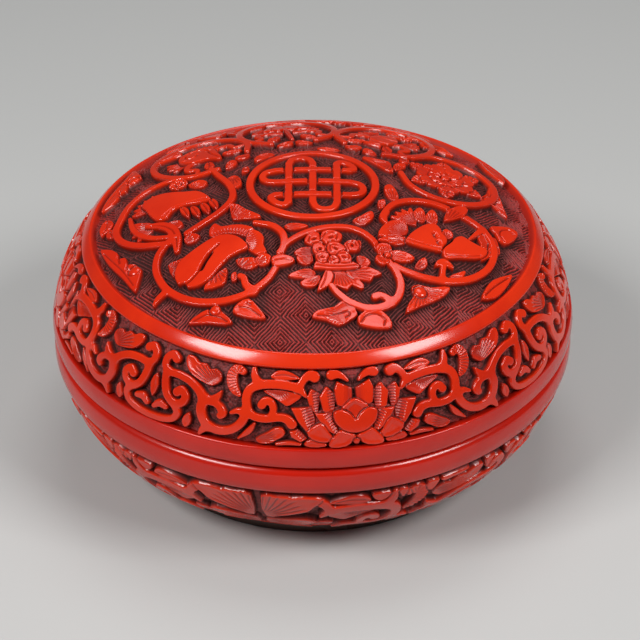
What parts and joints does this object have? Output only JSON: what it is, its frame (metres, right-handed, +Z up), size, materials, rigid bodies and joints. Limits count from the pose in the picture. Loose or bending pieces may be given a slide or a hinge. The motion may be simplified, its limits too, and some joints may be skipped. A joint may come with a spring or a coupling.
{
  "type": "carved lacquer box",
  "caption": "Round carved red lacquer box: a domed lid lifts off a bowl-shaped base, located by a thin collar inside the mouth; black inside, standing on a foot ring.",
  "frame": {"origin": "on the table, under the centre of the box", "axes": "+Z up along the axis of the box, out through the crown of the lid; -Y faces the viewer of the picture and +X is to the right"},
  "size_m": [0.12, 0.12, 0.0666],
  "materials": {
    "red_lacquer": "carved and polished red lacquer, many thin layers thick",
    "black_lacquer": "smooth black lacquer",
    "turned_wood": "turned bare wood, hidden under the lacquer"
  },
  "bodies": {
    "base": {"base_carved_coat": "red_lacquer", "base_rim": "red_lacquer", "base_core": "turned_wood", "base_lining": "black_lacquer", "base_collar": "black_lacquer", "foot_ring": "black_lacquer", "underside_coat": "black_lacquer"},
    "lid": {"lid_carved_coat": "red_lacquer", "lid_rim": "red_lacquer", "lid_core": "turned_wood", "lid_lining": "black_lacquer"}
  },
  "joints": [
    {"name": "lid_lift", "type": "slide", "parent": "base", "child": "lid", "axis": [0, 0, 1], "range_m": [0, 0.08]}
  ]
}
